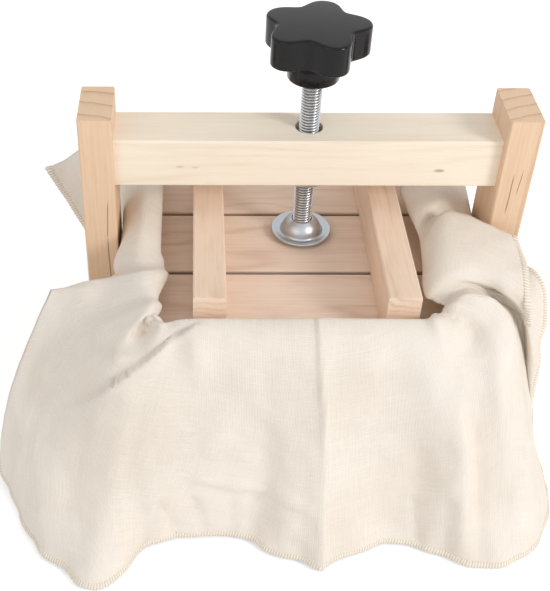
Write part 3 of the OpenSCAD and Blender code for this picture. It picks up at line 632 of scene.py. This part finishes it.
# The cloth's folds, walking round the mould. Each has 1 where it is pressed sharp, or 2 where its waist
# is too, then six points: the roll's inner side, its crest, the shoulder, waist and belly of the drape,
# and the hem. A point is a place (x, y, z) in millimetres, or [across, down, z], where the camera sees
# it in the 550 wide picture, with its height. None is worked out from the points beside it.
FOLDS = [
    # left, between the wall and the post
    (0, (-57.6, 0, 95), (-65.5, 0, 100.2), (-73.3, 0, 94.5), None, (-73.7, 0, 60), (-73.8, 0, 27)),
    (0, (-57.6, -13, 95), (-65.5, -13, 100.2), (-73.3, -13, 94.5), None, (-73.9, -15, 60),
     (-74.2, -16.5, 27)),
    (0, (-57.4, -22, 95), (-65.7, -22, 100), (-74.8, -21, 94.5), (-76, -20, 80), (-77.5, -20, 58),
     (-80, -20.5, 20)),
    (0, [164, 262, 95], (-66, -31, 99.3), (-75.4, -28, 94), (-75.6, -26.5, 82), (-80, -27, 56),
     (-93, -28, 6)),
    # left flap, from the fold along its top
    (0, [164, 267.5, 94.5], [141, 267, 98.2], (-75.2, -34, 93), (-77, -33.5, 80), (-93, -38, 52),
     (-108, -42, 3)),
    (2, [166, 271, 96.5], [141, 272, 103], [98, 280, 96.5], [50, 289, 89.5], [10, 393, 51], [2, 455, 9]),
    (0, [168, 276, 96.5], [145, 281, 102.2], [108, 288, 96], [60, 303, 86.5], [17, 410, 46], [5, 482, 3]),
    (0, [158, 298, 94.5], [146, 296, 98.5], [112, 308, 92], [68, 330, 80], [28, 425, 42], [18, 512, 1]),
    (0, [161.5, 306, 96], [149, 305, 101.2], [118, 322, 94], [80, 352, 79], [38, 445, 38], [38, 548, 1]),
    (0, [159, 313, 95], [147, 316, 98.5], [125, 336, 95], [92, 372, 80], [55, 460, 36], [60, 568, 1]),
    # pocket at the left corner
    (0, [155, 318, 93.3], [148, 322, 92.6], [136, 339, 94.5], [106, 383, 82], [72, 472, 34], [82, 585, 1]),
    (0, [161, 321, 95.5], [158, 326, 98], [147, 346, 96], [122, 392, 80], [94, 480, 34], [101, 588, 1]),
    (0, None, [170, 323, 100.8], [163, 346, 97], [144, 392, 79.5], [122, 480, 36], [118, 576, 1]),
    # front
    (0, None, [180, 320.5, 102], [177, 341, 97.5], [163, 392, 79], [146, 480, 36], [139, 555, 1]),
    (0, None, (-43, -71.6, 102.4), (-43.6, -80.8, 96), None, (-46, -86, 44), [152, 544, 1]),
    (0, None, (-36, -71.6, 102.4), (-36.4, -80.8, 96), None, (-38.5, -85.6, 44), [170, 537.5, 1]),
    (0, None, (-27, -71.6, 102.4), (-27.2, -80.8, 96), None, (-28.4, -85.5, 44), [199, 534, 1]),
    (0, None, (-18, -71.6, 102.4), (-18.2, -80.8, 96), None, (-19, -86, 44), [226, 534.5, 1]),
    (0, None, (-12.5, -71.6, 102.4), (-12.7, -80.8, 96), None, (-13.4, -87.5, 44), [250, 538, 1]),
    (0, None, (-8, -71.6, 102.5), (-8.2, -80.8, 96.2), None, (-9.3, -89.5, 44), [264, 549, 1]),
    (0, None, (-3.5, -71.6, 102.6), (-3.6, -80.9, 96.4), None, (-4, -91.5, 44), [284, 558, 1]),
    (0, None, (-0.5, -71.6, 102.6), (-0.6, -81, 96.4), None, (0.3, -92.8, 44), [302, 561, 1]),
    # pressed crease down the middle
    (1, None, (2.2, -71.8, 103), (3.4, -81.8, 96.8), (4.3, -88.1, 74), (5.3, -94.4, 44), [321, 570, 1]),
    (0, None, (7, -71.6, 102.8), (7.6, -81, 96.8), None, (10, -92, 44), [337, 559.5, 1]),
    (0, None, (13, -71.6, 102.6), (13.6, -80.9, 96.4), None, (16.5, -89.2, 44), [354, 553, 1]),
    (0, None, (20, -71.6, 102.4), (20.6, -80.8, 96), None, (25.5, -87.3, 44), [378, 544.5, 1]),
    (0, None, (27, -71.6, 102.4), (27.8, -80.8, 96), None, (34, -87.6, 44), [400, 544, 1]),
    (0, None, (33.5, -71.6, 102.3), (34.6, -80.8, 96), None, (43, -89.6, 45), [420, 548, 1]),
    (0, None, (39.5, -71.4, 102), (41, -80.6, 95.8), None, (52, -92.4, 46), [440, 555.5, 1]),
    (0, [433, 315.5, 95], (44, -70.6, 101), (47, -79.6, 95), None, (60, -94.4, 47), [458, 562.5, 1]),
    # pinch and lobe at the right corner
    (0, [438, 314.5, 94.5], [447, 320.5, 98.5], [458, 340, 96], [466, 390, 79], [474, 470, 38],
     [474, 567, 1]),
    (0, [442, 312.5, 93.3], [453, 318.5, 95], [470, 331, 95.5], [482, 385, 81], [489, 470, 38],
     [489, 568, 1]),
    (0, [443, 310.5, 95.5], [456, 306, 101.5], [483, 322, 99], [501, 378, 85], [506, 465, 40], [507, 564, 1]),
    (0, [444, 308, 96.5], [462, 298, 103.4], [493, 303.5, 100], [513, 350, 86], [520, 450, 44],
     [525, 555, 1]),
    (1, [445, 305.5, 96.5], [468, 294.5, 104], [500, 304.5, 98], [517, 345, 80], [528, 440, 46],
     [537, 542, 1]),
    # valley behind the lobe, and the side panel
    (0, [444, 305, 94], [466, 289, 96], [494, 301, 90.5], [518, 322, 80], [529, 398, 50], [547, 503, 3]),
    (0, [443, 305, 94], [464, 287, 96], [491, 297, 91], [520, 317, 83], [530, 376, 60], [530, 431, 32]),
    (0, [442, 304.5, 94], [463, 285.5, 96.5], [490, 294, 92], [515, 306, 88], [531, 340, 77], [538, 366, 62]),
    (0, [442, 304.5, 94], [463, 285, 96.8], [490, 292, 93], [513, 299, 91], [531, 308, 86], [546, 318, 77]),
    (0, [442, 304, 94], [463, 284.5, 97], [490, 291, 93.2], [511, 293, 92], [527, 286, 91], [541, 278, 91]),
    (1, [441, 303.5, 94], [463, 284, 97.3], [490, 290, 93.4], [507, 288, 92.8], [517, 276, 93.4],
     [524, 262, 94.5]),
    # upper sheet over the side panel
    (0, [438, 303, 94.5], [462, 283.5, 97.8], [488, 288, 94.2], [502, 287, 93.4], [509, 288, 92],
     [515, 290, 91]),
    (1, [432, 299.5, 95.5], [458, 281, 100], [486, 284.5, 98.5], [508, 297, 95], [520, 309, 90.5],
     [530, 326, 84]),
    (0, [426, 297, 96.5], [450, 274, 103], [478, 271, 103], [502, 280, 100.5], [517, 290, 97.5],
     [530, 304, 93.5]),
    (0, [423, 285, 97.5], [443, 260, 104.2], [470, 254, 105.4], [495, 261, 104], [512, 268, 102],
     [527, 276, 99.5]),
    (0, [423, 268, 98], [441, 238, 104.6], [465, 234, 106.2], [488, 241, 105.4], [507, 247, 104],
     [523, 254, 101.5]),
    (1, [421.5, 252, 98], [441, 214, 104.8], [462, 214, 106.2], [482, 222, 105.6], [500, 230.5, 104.5],
     [516, 240, 102.5]),
    # right, behind the fold and between the wall and the post
    (0, [419, 236, 97], (55, -3, 98.5), (63, -6, 98.5), (70.5, -11, 96), (76, -16, 92), (81, -18, 86)),
    (0, [410, 216, 96], (57, 2, 102.5), (66, 1, 101.5), (72, 0.5, 97), (73.8, 0, 88), (74, -1, 78)),
    (0, [405, 203, 96], (58, 9, 102.5), (68, 9, 101), (73.4, 9, 94), (74, 9, 70), (74, 9, 40)),
    (0, [400.5, 190, 96], (59, 18, 102), (69, 18, 100.5), (74.3, 20, 93.5), (76, 20, 64), (77, 20, 25)),
    (0, (50.5, 30, 96), (60, 28, 101), (71, 29, 97.5), (76.5, 30, 88), (79, 31, 58), (87, 33, 14)),
    (0, (54.5, 40, 95.5), (61.5, 40, 100), (70, 42, 95), None, (81, 45, 52), (97, 49, 8)),
    (0, (56.8, 49, 99.2), (62.5, 49, 101.8), (71, 52, 94.5), None, (83, 58, 50), (98, 62, 5)),
    # back right corner
    (0, (56.8, 54.4, 97), (61, 57, 99.5), (68.5, 64, 93), None, (79, 73, 48), (90, 80, 4)),
    (0, None, (54, 60, 97.8), (58.5, 66.5, 93), None, (66, 76, 52), (72, 83, 14)),
    (0, None, (46, 60, 97.5), (48, 66.3, 93), None, (50, 71, 62), (52, 76, 32)),
    # back
    (0, None, (38, 60, 97.5), (39, 66.5, 93), None, (40, 77, 62), (41, 84, 34)),
    (0, None, (29, 60, 97.5), (29, 66.3, 93), None, (28, 71, 64), (28, 74.5, 38)),
    (0, None, (19, 60, 97.5), (19, 66.6, 93), None, (19, 80, 64), (19, 87.5, 38)),
    (0, None, (9, 60, 97.5), (9, 66.3, 93), None, (8, 71, 66), (8, 75, 41)),
    (0, None, (-1, 60, 97.5), (-1, 66.5, 93), None, (-2, 77, 66), (-2, 84, 42)),
    (0, None, (-11, 60, 97.5), (-11, 66.3, 93), None, (-11, 70.8, 66), (-11, 74, 41)),
    (0, None, (-21, 60, 97.5), (-21, 66.6, 93), None, (-22, 79, 64), (-23, 86.5, 40)),
    (0, None, (-31, 60, 97.5), (-31.5, 66.3, 93), None, (-33, 71, 64), (-34, 75, 40)),
    (0, None, (-42, 60, 97.8), (-43, 66.6, 93.3), None, (-47, 77, 66), (-50, 84, 44)),
    # back left corner, and the tip behind the post
    (0, None, (-52, 60, 98.2), (-55, 67, 94), None, (-61, 73, 72), (-66, 77, 52)),
    (0, (-60, 54.4, 97), (-60.5, 59.5, 100.2), (-67, 66, 96), None, (-79, 72, 82), (-90, 76, 66)),
    (0, (-60, 55.5, 99.2), (-65, 55, 102.4), (-77, 60, 98.5), None, (-92, 63, 89), [51, 170, 75]),
    (1, (-59, 50, 95), (-66, 50, 101.4), (-80, 54, 100), None, (-96, 56, 94), [49.5, 172, 84]),
    (0, (-58, 42, 95), (-66, 44, 100.8), (-78, 46, 98), None, (-91, 48, 88), [66, 198, 72]),
    (0, (-57.8, 35, 95), (-66, 36, 100.4), (-76.5, 38, 96), None, (-85, 40, 78), (-93, 42, 54)),
    (0, (-57.7, 28, 95), (-65.8, 29, 100.3), (-75, 30, 95), None, (-79, 30, 70), (-84, 30, 40)),
    (0, (-57.6, 20, 95), (-65.5, 20, 100.2), (-73.8, 20, 94.5), None, (-75.2, 20.5, 60), (-76, 21, 28)),
    (0, (-57.6, 11, 95), (-65.5, 11, 100.2), (-73.3, 11, 94.5), None, (-73.8, 12, 60), (-74, 13, 27)),
]

# Lines on the front as the camera sees them, in points of the 550 wide picture: a crease has a height
# and a width in millimetres, and the lap is where the front panel lies over the left flap
CREASES = [
    ([(198, 479), (212, 483), (240, 486), (262, 490), (290, 500), (312, 510)], 1.3, 1.5),
    ([(204, 486), (240, 493), (262, 497), (290, 508)], -0.7, 2.2),
    ([(182, 434), (205, 425)], 0.9, 1.2),
    ([(160, 503), (169, 515), (175, 530)], -1.4, 1.4),
    ([(193, 500), (199, 512), (204, 527)], -1.4, 1.6),
    ([(416, 505), (418, 540)], -1.5, 1.9),
    ([(450, 505), (446, 550)], -1.1, 3.5),
    ([(230, 500), (232, 530)], -0.8, 2.6),
    ([(268, 512), (272, 540)], -0.9, 2.6),
    ([(150, 320), (143, 327), (133, 334)], -1.8, 1.8),
    ([(319, 322), (325, 420), (326, 470), (322, 566)], 0.9, 1.1),
    ([(240, 395), (180, 470), (150, 500)], 1.0, 7.0),
    ([(395, 345), (415, 470)], -1.2, 9.0),
    ([(500, 380), (478, 540)], -1.0, 7.0),
    ([(420, 470), (405, 535)], -1.0, 7.0),
    ([(215, 350), (262, 450)], -1.0, 8.0),
    ([(130, 400), (105, 500), (100, 560)], 1.2, 6.0),
    ([(75, 330), (40, 440)], -0.9, 7.0),
    ([(120, 300), (85, 360)], 0.7, 5.0),
]
CREASED_FRONT = -40         # the creases are pressed into what lies before this
LAP_RIGHT, LAP_LOW = -20, 30
LAP = ([(206, 318), (176, 337), (161, 349), (147, 361), (129, 373), (110, 385), (88, 398), (66, 409)], 2.8)


def between(a, b, c, d, t, sharp_b=0, sharp_c=0):
    """A smooth curve from b to c. A sharp end, up to 1, takes its direction from this side alone."""
    leave = ((c - a) / 2).lerp(c - b, sharp_b)
    arrive = ((d - b) / 2).lerp(c - b, sharp_c)
    t2, t3 = t * t, t * t * t
    return (
        (2 * t3 - 3 * t2 + 1) * b + (t3 - 2 * t2 + t) * leave
        + (3 * t2 - 2 * t3) * c + (t3 - t2) * arrive
    )


def seen(p):
    """Where the camera sees a place, in points of the picture."""
    local = scene.camera.matrix_world.inverted() @ (p * MM)
    return CENTRE_PX + Vector((local.x, -local.y)) * (FOCAL_PX / -local.z)


def sighted(across, down, z):
    """The place at a height that the camera sees at a point of the picture."""
    camera = scene.camera.matrix_world
    eye = camera.translation / MM
    sight = camera.to_3x3() @ Vector((across - CENTRE_PX.x, CENTRE_PX.y - down, -FOCAL_PX))
    return eye + sight * ((z - eye.z) / sight.z)


def slid_up(p, z):
    """The place at another height on the same line of sight."""
    eye = scene.camera.matrix_world.translation / MM
    return eye + (p - eye) * ((z - eye.z) / (p.z - eye.z))


def on_lining(p, z):
    """The place at a height on the mould's lining that is nearest to a point outside it."""
    return Vector((
        min(max(p.x, IN_LEFT + LINING_GAP), IN_RIGHT - LINING_GAP),
        min(max(p.y, IN_FRONT + LINING_GAP), IN_BACK - LINING_GAP),
        z,
    ))


def placed(fold):
    """A fold's six points, to a tenth of a millimetre. Where its inner side lies over the lid, that and
    part of the crest's height slide up their line of sight, clear of the raised lid."""
    points = [sighted(*p) if isinstance(p, list) else p and Vector(p) for p in fold[1:]]
    lean, crest, shoulder, waist, belly, hem = points
    if waist is None:
        waist = between(crest, shoulder, belly, hem, 0.5)
    if lean is None:
        lean = on_lining(crest, RIM + 4)
    edge = LID_GAP - 0.3
    over_lid = all(a - edge < c < b + edge for a, c, b in zip(PLANK_FRONT[0].xy, lean.xy, PLANK_BACK[1].xy))
    if over_lid and lean.z < LIFTED:
        crest = slid_up(crest, crest.z + 0.55 * (LIFTED - lean.z))
        lean = slid_up(lean, LIFTED)
    return [Vector([round(c, 1) for c in p]) for p in (lean, crest, shoulder, waist, belly, hem)]


def control_points(fold):
    """Every point that steers a column: the lining's foot and wall, the rim, and then the fold's own."""
    points = placed(fold)
    lean, crest = points[:2]
    start = on_lining(crest, 0)
    over_lid = (lean.xy - start.xy).length > 1
    start = start.lerp(lean, 0.05 if over_lid else 0.2)
    start.z = lean.z - 1 if over_lid else RIM - 1
    return [on_lining(crest, FLOOR_OF_MOULD + LINING_GAP), on_lining(crest, RIM - 5), start, *points]


def onto_wall(p):
    """Moves a point straight out from the middle of the mould to its lining."""
    middle = Vector((IN_LEFT + IN_RIGHT, IN_FRONT + IN_BACK)) / 2
    half = Vector((IN_RIGHT - LINING_GAP, IN_BACK - LINING_GAP)) - middle
    way = p.xy - middle
    grow = min(half.x / max(abs(way.x), 0.001), half.y / max(abs(way.y), 0.001))
    p.x, p.y = middle + way * grow


def column(points, corner=0):
    """The points down one column, from the middle of the mould's bottom to the hem. A corner, up to 1,
    is pressed into it at the waist."""
    foot, wall, hem, belly = points[0], points[1], points[-1], points[-2]
    centre = Vector(((IN_LEFT + IN_RIGHT) / 2, (IN_FRONT + IN_BACK) / 2, foot.z))
    rows = [centre.lerp(foot, k / ROWS[0]) for k in range(ROWS[0])]
    rows += [foot.lerp(wall, k / ROWS[1]) for k in range(ROWS[1])]
    chain = [wall - Vector((0, 0, 8)), *points[1:], hem * 2 - belly]
    for part, count in enumerate(ROWS[2:]):
        ends = corner * (part == 5), corner * (part == 4)
        rows += [between(*chain[part:part + 4], k / count, *ends) for k in range(count)]
    for p in rows[ROWS[0]:sum(ROWS[:3]) + 1]:
        onto_wall(p)
    return [*rows, hem.copy()]


def clear_of(p, low, high, gap, sides):
    """Moves a point that has sunk into a box out through the nearest of the sides named."""
    if not all(a - gap < c < b + gap for a, c, b in zip(low, p, high)):
        return False
    ways = {
        "left": (p.x - low.x + gap, 0, low.x - gap), "right": (high.x + gap - p.x, 0, high.x + gap),
        "front": (p.y - low.y + gap, 1, low.y - gap), "back": (high.y + gap - p.y, 1, high.y + gap),
        "top": (high.z + gap - p.z, 2, high.z + gap),
    }
    _, axis, value = min(ways[side] for side in sides)
    p[axis] = value
    return True


def keep_outside(grid, rounds=6):
    """Lifts the drape clear of the mould, the lid, the posts and the table, and eases it round them."""
    mould = (Vector((OUT_LEFT, OUT_FRONT, 0)), Vector((OUT_RIGHT, OUT_BACK, RIM)))
    lid = (PLANK_FRONT[0], PLANK_BACK[1] + Vector((0, 0, LID_RISE)))
    sides = ("left", "right", "front", "back")
    n, last = len(grid), len(grid[0]) - 1
    for turn in range(rounds):
        moved = set()
        for i, points in enumerate(grid):
            for j in range(sum(ROWS[:3]), last + 1):
                p = points[j]
                touch = clear_of(p, *lid, LID_GAP, (*sides, "top"))
                if j >= sum(ROWS[:4]):
                    touch |= clear_of(p, *mould, MOULD_GAP, (*sides, "top"))
                touch |= clear_of(p, *LEFT_POST, POST_GAP, sides)
                touch |= clear_of(p, *RIGHT_POST, POST_GAP, sides)
                p.z = max(p.z, FLOOR_HEM)
                if touch:
                    moved |= {((i + a) % n, j + b) for a in range(-2, 3) for b in range(-2, 3)}
        if turn == rounds - 1:
            break
        eased = {}
        for i, j in moved:
            if sum(ROWS[:4]) < j < last:
                around = grid[i - 1][j] + grid[(i + 1) % n][j] + grid[i][j - 1] + grid[i][j + 1]
                eased[i, j] = grid[i][j].lerp(around / 4, 0.5)
        for (i, j), p in eased.items():
            grid[i][j] = p


def from_line(spot, line):
    """Distance to a line of points, below the line counted positive, and the share of its length."""
    best = (math.inf, 0)
    for k, (a, b) in enumerate(zip(line, line[1:])):
        a, b = Vector(a), Vector(b)
        way = b - a
        t = min(max((spot - a).dot(way) / way.length_squared, 0), 1)
        gap = spot - a - way * t
        if gap.length < abs(best[0]):
            side = 1 if way.x * gap.y - way.y * gap.x < 0 else -1
            best = (gap.length * side, (k + t) / (len(line) - 1))
    return best


def outward(grid, i, j):
    """The outward direction of the sheet at a point of the grid."""
    n = len(grid)
    down = grid[i][min(j + 1, len(grid[i]) - 1)] - grid[i][j - 1]
    along = grid[(i + 1) % n][j] - grid[i - 1][j]
    return down.cross(along).normalized()


def unevenness(p, down):
    """How far soft waves push a point out. They grow from the crest to the hem."""
    waves = noise.noise(p * 0.05) + noise.noise(p * 0.13 + Vector((9, 4, 2))) * 0.45
    flutes = noise.noise(Vector((p.x * 0.1, p.y * 0.1, p.z * 0.016)) + Vector((3, 8, 5)))
    return waves * min(down * 6, 1) + flutes * 1.8 * down ** 2


def pressed(p):
    """How far the creases and the lap push a point out, from where the camera sees it."""
    spot, push = seen(p), 0
    for line, height, width in CREASES:
        gap, _ = from_line(spot, line)
        push += height * math.exp(-((gap * POINT_MM / width) ** 2))
    if p.x < LAP_RIGHT and p.z > LAP_LOW:
        line, depth = LAP
        gap, share = from_line(spot, line)
        gap *= POINT_MM
        fade = min(1, (1 - share) * 4) * min(1, share * 8)
        if gap < 0:
            push -= depth * fade * (1 - math.exp(-(gap / 0.6) ** 2)) * math.exp(-(gap / 9) ** 2)
        else:
            push += 0.5 * fade * math.exp(-((gap - 1) / 1.4) ** 2)
    return push


def add_creases(grid):
    """Presses the creases, the lap and a soft unevenness into the drape."""
    last = len(grid[0]) - 1
    moves = []
    for i, points in enumerate(grid):
        for j in range(FIRST_OUT, last + 1):
            p = points[j]
            facing = outward(grid, i, j)
            push = unevenness(p, (j - FIRST_OUT) / (last - FIRST_OUT))
            if p.y < CREASED_FRONT and facing.y < 0.3:
                push += pressed(p)
            moves.append((p, facing * push))
    for p, move in moves:
        p += move


def cloth_table():
    """Every point of the sheet, column by column."""
    controls = [control_points(fold) for fold in FOLDS]
    n = len(FOLDS)
    grid = []
    for index in range(n):
        near = [controls[(index + k) % n] for k in (-1, 0, 1, 2)]
        presses = [FOLDS[(index + k) % n][0] for k in (0, 1)]
        sharp = [min(press, 1) for press in presses]
        corners = [press == 2 for press in presses]
        reach = max((b - a).length for a, b in zip(near[1][3:], near[2][3:]))
        cuts = max(2, round(reach / COLUMN_GAP))
        for k in range(cuts):
            corner = corners[0] * (1 - k / cuts) + corners[1] * k / cuts
            grid.append(column([between(*four, k / cuts, *sharp) for four in zip(*near)], corner))
    keep_outside(grid)
    add_creases(grid)
    keep_outside(grid)
    return grid


def woven(name, across, down, place, weave, merge):
    """A grid rolled into a ring, with UVs named weave. For column i and row j, place(i, j) gives a corner
    in millimetres and weave(i, j) its UV."""
    bm = bmesh.new()
    bmesh.ops.create_grid(bm, x_segments=across, y_segments=down, size=1)
    uv = bm.loops.layers.uv.new("weave")
    spots = {v: (round((v.co.x + 1) / 2 * across), round((v.co.y + 1) / 2 * down)) for v in bm.verts}
    for face in bm.faces:
        for loop in face.loops:
            loop[uv].uv = weave(*spots[loop.vert])
    for vertex, (i, j) in spots.items():
        vertex.co = place(i % across, j) * MM
    bmesh.ops.remove_doubles(bm, verts=bm.verts, dist=merge)
    bmesh.ops.recalc_face_normals(bm, faces=bm.faces)
    return link(name, bm)


def running(points):
    """The distance along a line of points, at each of them."""
    run = [0.0]
    for a, b in zip(points, points[1:]):
        run.append(run[-1] + (b - a).length)
    return run


def make_sheet(name, columns):
    """A sheet from its columns, closed round the mould and at the middle, with its weave's UVs."""
    across, down = len(columns), len(columns[0]) - 1
    level = [points[down - ROWS[-1]] for points in columns]
    lengths = running([*level, level[0]])
    drops = [running(points) for points in columns]
    return woven(
        name, across, down, lambda i, j: columns[i][j],
        lambda i, j: (lengths[i] * MM, drops[i % across][j] * MM), merge=0.00002,
    )


def hem_band(columns):
    """The overlocked edge: a flattened roll of thread along the hem, beaded by its stitches."""
    width, thick, stitch, around = 1.5, 0.7, 2.3, 8
    bead_share, lowest = 0.09, 0.1
    rim = [points[-1] for points in columns]
    inner = [points[-3] for points in columns]
    n, fine = len(rim), 3

    def smooth(ring):
        return [
            between(ring[k - 1], ring[k], ring[(k + 1) % n], ring[(k + 2) % n], s / fine)
            for k in range(n) for s in range(fine)
        ]

    line, inward = smooth(rim), smooth(inner)
    total = len(line)
    run = running([*line, line[0]])
    stitches = round(run[-1] / stitch)

    def place(k, j):
        ahead = (line[(k + 1) % total] - line[k - 1]).normalized()
        side = inward[k] - line[k]
        side = (side - ahead * side.dot(ahead)).normalized()
        up = ahead.cross(side)
        turn = 2 * math.pi * j / around
        bead = 1 + bead_share * math.sin(2 * math.pi * stitches * run[k] / run[-1])
        p = line[k] + side * width * 0.6
        p += side * math.cos(turn) * width * bead + up * math.sin(turn) * thick * bead
        p.z = max(p.z, lowest)
        return p

    return woven(
        "cloth_hem", total, around, place, lambda i, j: (run[i] * MM, j / around), merge=0.00001,
    )


def cotton():
    """Unbleached plain weave: crossing threads with slubs, a little thinner in places."""
    finish = Finish("cheesecloth", Roughness=0.9, Specular_IOR_Level=0.15)
    thread = 0.62           # millimetres from one thread to the next
    weave = finish.node("UVMap", {"uv_map": "weave"})
    grown = finish.node("VectorMath", {"operation": "MULTIPLY"}, [weave, (1000, 1000, 1000)])
    u, v, _ = finish.split(grown)

    def slubs(*scale):
        drawn = finish.node("VectorMath", {"operation": "MULTIPLY"}, [grown, (*scale, 1)])
        return finish.noise(drawn, detail=2)

    slub_u, slub_v = slubs(0.08, 1.4), slubs(1.4, 0.08)
    turn = 2 * math.pi / thread
    warp = (u * turn + slub_v * 2.0).math("SINE") * 0.5 + 0.5
    weft = (v * turn + slub_u * 2.0).math("SINE") * 0.5 + 0.5
    cross = (u * turn * 0.5).math("SINE") * (v * turn * 0.5).math("SINE")
    height = warp * 0.5 + weft * 0.5 + cross * 0.25 + (slub_u + slub_v) * 0.5
    cloud = finish.noise(finish.place(), scale=0.02, detail=3)
    holes = ((1 - warp) * (1 - weft)).step(0.35, 0.9)
    light, dark = srgb(243, 235, 225), srgb(229, 218, 204)
    thin = cloud * 0.5 + (1 - slub_u) * 0.25 + (1 - slub_v) * 0.25
    tone = finish.mix(thin.step(0.3, 0.75), light, dark)
    colour = finish.mix(holes * 0.35, tone, srgb(200, 184, 163))
    return finish.set(Base_Color=colour, Normal=finish.bump(height, 0.00018, 0.5))


def overlock():
    """Edge stitching: pale thread laid across the hem."""
    finish = Finish("overlock_thread", Roughness=0.85, Specular_IOR_Level=0.2)
    thread = 0.00115        # metres from one thread to the next
    weave = finish.node("UVMap", {"uv_map": "weave"})
    u, v, _ = finish.split(weave)
    lines = ((u * (2 * math.pi / thread)) + v * 6).math("SINE") * 0.5 + 0.5
    cloud = finish.noise(finish.place(), scale=0.1, detail=2)
    colour = finish.mix(lines * 0.75 + cloud * 0.2, srgb(248, 241, 230), srgb(216, 200, 178))
    return finish.set(Base_Color=colour, Normal=finish.bump(lines, 0.0003, 0.6))


def make_cloth():
    """The cheesecloth as one thin sheet with its hem."""
    columns = cloth_table()
    sheet = make_sheet("cheesecloth", columns)
    hem = hem_band(columns)
    thick = sheet.modifiers.new("thickness", "SOLIDIFY")
    thick.thickness = CLOTH_T * MM
    thick.offset = 0
    sheet.data.materials.append(cotton())
    hem.data.materials.append(overlock())
    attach(sheet, "frame")
    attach(hem, "frame")
    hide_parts("cloth_lining", "cloth_front", "cloth_right", "cloth_back", "cloth_left")


make_camera()
make_stage()
finish_wood()
finish_metal()
make_cloth()
